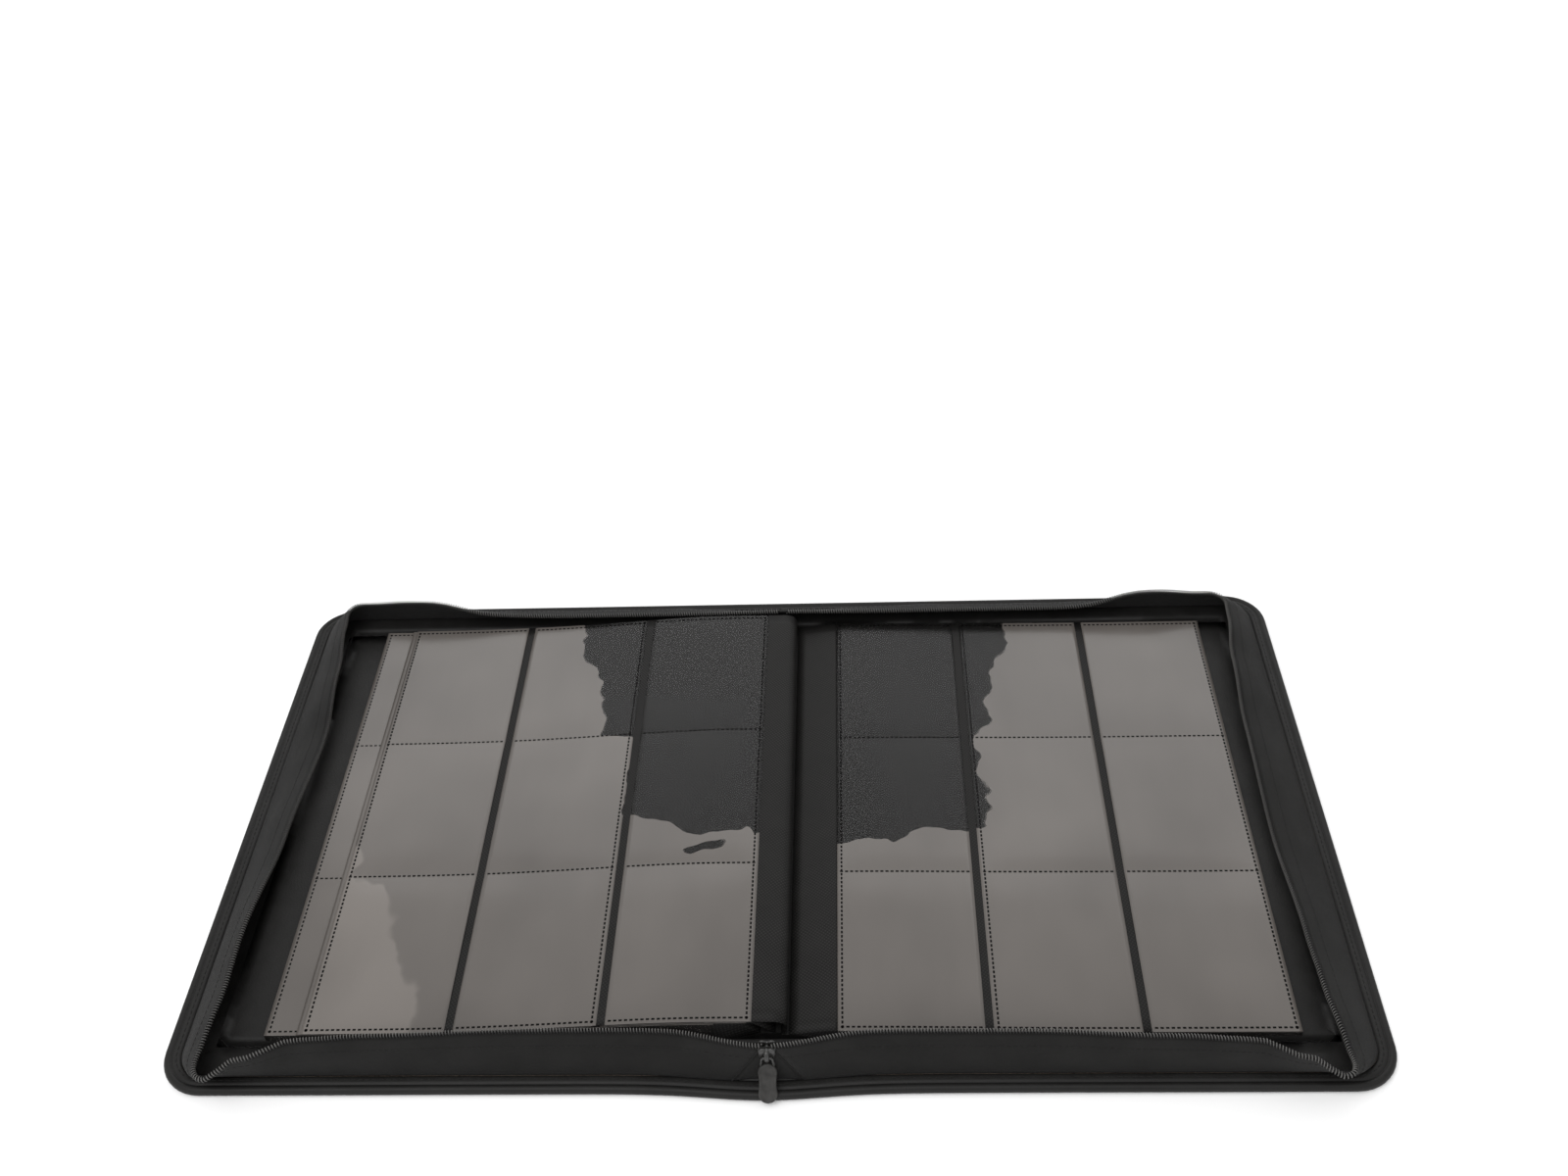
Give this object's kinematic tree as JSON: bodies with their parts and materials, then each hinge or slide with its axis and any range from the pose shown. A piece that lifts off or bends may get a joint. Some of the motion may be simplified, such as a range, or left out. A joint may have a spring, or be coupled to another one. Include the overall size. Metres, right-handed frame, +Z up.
{
  "type": "zip card binder",
  "caption": "Zip-around trading card binder with padded covers, a flat spine and side-loading nine-pocket leaves.",
  "frame": {"origin": "centre of the open binder's bounding box, on the table face under the covers", "axes": "+X across the open binder from front cover to back cover, +Y away from the reader along the spine, +Z up"},
  "size_m": [0.575, 0.34, 0.0275],
  "materials": {
    "pu_leather": "fine-grained polyurethane leather, satin",
    "stiff_board": "grey stiffening board, hidden",
    "lining": "smooth black lining, satin",
    "page_sheet": "black polypropylene with a fine linen emboss",
    "pocket_film": "clear glossy polypropylene film",
    "gusset_fabric": "black woven polyester tape and gusset",
    "zip_coil": "black nylon coil",
    "slider_metal": "black enamelled zinc",
    "pull_rubber": "soft black moulded pull"
  },
  "bodies": {
    "back_cover": {"back_cover_skin": "pu_leather", "back_cover_board": "stiff_board", "back_cover_lining": "lining", "back_zip_gusset": "gusset_fabric", "back_zip_coil": "zip_coil"},
    "spine": {"spine_skin": "pu_leather", "spine_board": "stiff_board", "spine_lining": "lining", "binding_block": "lining", "spine_end_gores": "gusset_fabric"},
    "front_cover": {"front_cover_skin": "pu_leather", "front_cover_board": "stiff_board", "front_cover_lining": "lining", "front_zip_gusset": "gusset_fabric", "front_zip_coil": "zip_coil"},
    "left_leaf_1": {"left_leaf_1_sheet": "page_sheet", "left_leaf_1_pockets": "pocket_film"},
    "left_leaf_2": {"left_leaf_2_sheet": "page_sheet", "left_leaf_2_pockets": "pocket_film"},
    "left_leaf_3": {"left_leaf_3_sheet": "page_sheet", "left_leaf_3_pockets": "pocket_film"},
    "left_leaf_4": {"left_leaf_4_sheet": "page_sheet", "left_leaf_4_pockets": "pocket_film"},
    "left_leaf_5": {"left_leaf_5_sheet": "page_sheet", "left_leaf_5_pockets": "pocket_film"},
    "left_leaf_6": {"left_leaf_6_sheet": "page_sheet", "left_leaf_6_pockets": "pocket_film"},
    "left_leaf_7": {"left_leaf_7_sheet": "page_sheet", "left_leaf_7_pockets": "pocket_film"},
    "left_leaf_8": {"left_leaf_8_sheet": "page_sheet", "left_leaf_8_pockets": "pocket_film"},
    "left_leaf_9": {"left_leaf_9_sheet": "page_sheet", "left_leaf_9_pockets": "pocket_film"},
    "left_leaf_10": {"left_leaf_10_sheet": "page_sheet", "left_leaf_10_pockets": "pocket_film"},
    "left_leaf_11": {"left_leaf_11_sheet": "page_sheet", "left_leaf_11_pockets": "pocket_film"},
    "left_leaf_12": {"left_leaf_12_sheet": "page_sheet", "left_leaf_12_pockets": "pocket_film"},
    "right_leaf_1": {"right_leaf_1_sheet": "page_sheet", "right_leaf_1_pockets": "pocket_film"},
    "right_leaf_2": {"right_leaf_2_sheet": "page_sheet", "right_leaf_2_pockets": "pocket_film", "page_hinge_strip": "page_sheet"},
    "right_leaf_3": {"right_leaf_3_sheet": "page_sheet", "right_leaf_3_pockets": "pocket_film"},
    "right_leaf_4": {"right_leaf_4_sheet": "page_sheet", "right_leaf_4_pockets": "pocket_film"},
    "right_leaf_5": {"right_leaf_5_sheet": "page_sheet", "right_leaf_5_pockets": "pocket_film"},
    "right_leaf_6": {"right_leaf_6_sheet": "page_sheet", "right_leaf_6_pockets": "pocket_film"},
    "right_leaf_7": {"right_leaf_7_sheet": "page_sheet", "right_leaf_7_pockets": "pocket_film"},
    "right_leaf_8": {"right_leaf_8_sheet": "page_sheet", "right_leaf_8_pockets": "pocket_film"},
    "slider": {"zip_slider": "slider_metal"},
    "link": {"pull_link": "slider_metal"},
    "tab": {"pull_tab": "pull_rubber"}
  },
  "joints": [
    {"name": "spine_fold", "type": "hinge", "parent": "back_cover", "child": "spine", "pos_m": [0.0225, 0, 0.0048], "axis": [0, 1, 0], "range_deg": [0, 90], "deforming": ["spine_end_gores", "back_zip_coil", "front_zip_coil"]},
    {"name": "cover_fold", "type": "hinge", "parent": "spine", "child": "front_cover", "pos_m": [-0.0225, 0, 0.0048], "axis": [0, 1, 0], "range_deg": [0, 90]},
    {"name": "left_leaf_1_turn", "type": "hinge", "parent": "spine", "child": "left_leaf_1", "pos_m": [0.005, 0, 0.00995], "axis": [0, 1, 0], "range_deg": [0, 90]},
    {"name": "left_leaf_2_turn", "type": "hinge", "parent": "spine", "child": "left_leaf_2", "pos_m": [0.0026, 0, 0.0095], "axis": [0, 1, 0], "range_deg": [0, 90]},
    {"name": "left_leaf_3_turn", "type": "hinge", "parent": "spine", "child": "left_leaf_3", "pos_m": [-0.0045, 0, 0.00905], "axis": [0, 1, 0], "range_deg": [0, 90]},
    {"name": "left_leaf_4_turn", "type": "hinge", "parent": "spine", "child": "left_leaf_4", "pos_m": [-0.0059, 0, 0.0086], "axis": [0, 1, 0], "range_deg": [0, 90]},
    {"name": "left_leaf_5_turn", "type": "hinge", "parent": "spine", "child": "left_leaf_5", "pos_m": [-0.0073, 0, 0.00815], "axis": [0, 1, 0], "range_deg": [0, 90]},
    {"name": "left_leaf_6_turn", "type": "hinge", "parent": "spine", "child": "left_leaf_6", "pos_m": [-0.0087, 0, 0.0077], "axis": [0, 1, 0], "range_deg": [0, 90]},
    {"name": "left_leaf_7_turn", "type": "hinge", "parent": "spine", "child": "left_leaf_7", "pos_m": [-0.0101, 0, 0.00725], "axis": [0, 1, 0], "range_deg": [0, 90]},
    {"name": "left_leaf_8_turn", "type": "hinge", "parent": "spine", "child": "left_leaf_8", "pos_m": [-0.0115, 0, 0.0068], "axis": [0, 1, 0], "range_deg": [0, 90]},
    {"name": "left_leaf_9_turn", "type": "hinge", "parent": "spine", "child": "left_leaf_9", "pos_m": [-0.0129, 0, 0.00635], "axis": [0, 1, 0], "range_deg": [0, 90]},
    {"name": "left_leaf_10_turn", "type": "hinge", "parent": "spine", "child": "left_leaf_10", "pos_m": [-0.0143, 0, 0.0059], "axis": [0, 1, 0], "range_deg": [0, 90]},
    {"name": "left_leaf_11_turn", "type": "hinge", "parent": "spine", "child": "left_leaf_11", "pos_m": [-0.0157, 0, 0.00545], "axis": [0, 1, 0], "range_deg": [0, 90]},
    {"name": "left_leaf_12_turn", "type": "hinge", "parent": "spine", "child": "left_leaf_12", "pos_m": [-0.0171, 0, 0.005], "axis": [0, 1, 0], "range_deg": [0, 90]},
    {"name": "right_leaf_2_turn", "type": "hinge", "parent": "spine", "child": "right_leaf_2", "pos_m": [0.0104, 0, 0.0077], "axis": [0, 1, 0], "range_deg": [-90, 0]},
    {"name": "right_leaf_3_turn", "type": "hinge", "parent": "spine", "child": "right_leaf_3", "pos_m": [0.0118, 0, 0.00725], "axis": [0, 1, 0], "range_deg": [-90, 0]},
    {"name": "right_leaf_4_turn", "type": "hinge", "parent": "spine", "child": "right_leaf_4", "pos_m": [0.0132, 0, 0.0068], "axis": [0, 1, 0], "range_deg": [-90, 0]},
    {"name": "right_leaf_5_turn", "type": "hinge", "parent": "spine", "child": "right_leaf_5", "pos_m": [0.0146, 0, 0.00635], "axis": [0, 1, 0], "range_deg": [-90, 0]},
    {"name": "right_leaf_6_turn", "type": "hinge", "parent": "spine", "child": "right_leaf_6", "pos_m": [0.016, 0, 0.0059], "axis": [0, 1, 0], "range_deg": [-90, 0]},
    {"name": "right_leaf_7_turn", "type": "hinge", "parent": "spine", "child": "right_leaf_7", "pos_m": [0.0174, 0, 0.00545], "axis": [0, 1, 0], "range_deg": [-90, 0]},
    {"name": "right_leaf_8_turn", "type": "hinge", "parent": "spine", "child": "right_leaf_8", "pos_m": [0.0188, 0, 0.005], "axis": [0, 1, 0], "range_deg": [-90, 0]},
    {"name": "page_turn", "type": "hinge", "parent": "right_leaf_2", "child": "right_leaf_1", "pos_m": [0.0141, 0, 0.0154], "axis": [0, 1, 0], "range_deg": [-179, 0]},
    {"name": "slider_travel", "type": "slide", "parent": "spine", "child": "slider", "axis": [0, 0, 1], "range_m": [0, 0.012]},
    {"name": "link_swing", "type": "hinge", "parent": "slider", "child": "link", "pos_m": [0, -0.16118, 0.023], "axis": [-1, 0, 0], "range_deg": [0, 110]},
    {"name": "tab_swing", "type": "hinge", "parent": "link", "child": "tab", "pos_m": [0, -0.16118, 0.017], "axis": [-1, 0, 0], "range_deg": [0, 60]}
  ],
  "couplings": [
    {"joint": "cover_fold", "follows": "spine_fold", "ratio": 1},
    {"joint": "left_leaf_1_turn", "follows": "spine_fold", "ratio": 1},
    {"joint": "left_leaf_2_turn", "follows": "spine_fold", "ratio": 1},
    {"joint": "left_leaf_3_turn", "follows": "spine_fold", "ratio": 1},
    {"joint": "left_leaf_4_turn", "follows": "spine_fold", "ratio": 1},
    {"joint": "left_leaf_5_turn", "follows": "spine_fold", "ratio": 1},
    {"joint": "left_leaf_6_turn", "follows": "spine_fold", "ratio": 1},
    {"joint": "left_leaf_7_turn", "follows": "spine_fold", "ratio": 1},
    {"joint": "left_leaf_8_turn", "follows": "spine_fold", "ratio": 1},
    {"joint": "left_leaf_9_turn", "follows": "spine_fold", "ratio": 1},
    {"joint": "left_leaf_10_turn", "follows": "spine_fold", "ratio": 1},
    {"joint": "left_leaf_11_turn", "follows": "spine_fold", "ratio": 1},
    {"joint": "left_leaf_12_turn", "follows": "spine_fold", "ratio": 1},
    {"joint": "right_leaf_2_turn", "follows": "spine_fold", "ratio": -1},
    {"joint": "right_leaf_3_turn", "follows": "spine_fold", "ratio": -1},
    {"joint": "right_leaf_4_turn", "follows": "spine_fold", "ratio": -1},
    {"joint": "right_leaf_5_turn", "follows": "spine_fold", "ratio": -1},
    {"joint": "right_leaf_6_turn", "follows": "spine_fold", "ratio": -1},
    {"joint": "right_leaf_7_turn", "follows": "spine_fold", "ratio": -1},
    {"joint": "right_leaf_8_turn", "follows": "spine_fold", "ratio": -1}
  ]
}
